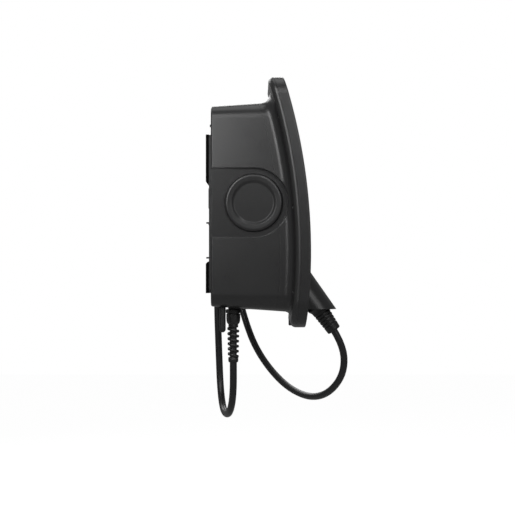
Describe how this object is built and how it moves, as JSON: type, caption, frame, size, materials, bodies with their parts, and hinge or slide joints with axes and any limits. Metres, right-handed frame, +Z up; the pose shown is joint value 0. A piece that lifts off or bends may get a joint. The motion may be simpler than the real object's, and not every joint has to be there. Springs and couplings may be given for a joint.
{
  "type": "wall-mounted charging station",
  "caption": "Wall box that charges an electric car: drafted housing, bent front with a connector holster, cable coiled on a side hook.",
  "frame": {"origin": "centre of the four wall-bolt holes, on the wall plane", "axes": "+Z up, +Y into the wall, the front faces -Y, X across the unit"},
  "size_m": [0.4285, 0.2773, 0.6618],
  "materials": {
    "anthracite_plastic": "fine moulded grain, matte anthracite",
    "black_plastic": "matte black moulded plastic",
    "black_rubber": "matte black rubber",
    "cable_rubber": "matte black cable sheath",
    "painted_steel": "black powder coat",
    "zinc_steel": "bright zinc plate",
    "brass": "plain brass",
    "circuit_board": "green solder mask",
    "module_grey": "light grey moulded plastic",
    "module_black": "black potted module",
    "light_plastic": "clear-white light guide",
    "strap_fabric": "black hook-and-loop webbing"
  },
  "bodies": {
    "root": {"antenna": "black_plastic", "antenna_nut": "zinc_steel", "board_screws": "zinc_steel", "board_standoffs": "brass", "boot_collar": "black_plastic", "cable_gland": "black_plastic", "cable_hook": "painted_steel", "cable_strap": "strap_fabric", "connector_contacts": "brass", "connector_grip": "black_plastic", "connector_nose": "black_plastic", "contactor": "module_grey", "control_board": "circuit_board", "cord_coil": "cable_rubber", "cord_drop": "cable_rubber", "cord_loop": "cable_rubber", "cover_frame": "anthracite_plastic", "cover_gasket": "black_rubber", "cover_latch": "black_plastic", "cover_screws": "zinc_steel", "energy_meter": "module_grey", "frame_screws": "zinc_steel", "front_cover": "anthracite_plastic", "gland_locknut": "black_plastic", "hanging_studs": "zinc_steel", "holster_hood": "anthracite_plastic", "holster_liner": "black_plastic", "hook_screws": "zinc_steel", "kink_spiral": "black_rubber", "main_board": "circuit_board", "power_supply": "module_black", "rear_housing": "anthracite_plastic", "residual_current_sensor": "module_black", "securing_screw": "zinc_steel", "side_cap_left": "anthracite_plastic", "side_cap_right": "anthracite_plastic", "spacer_pad_lower": "black_plastic", "spacer_pad_upper": "black_plastic", "status_light_guide": "light_plastic", "supply_grommet": "black_rubber", "supply_terminal_block": "module_grey", "wall_bracket": "painted_steel"}
  },
  "joints": []
}
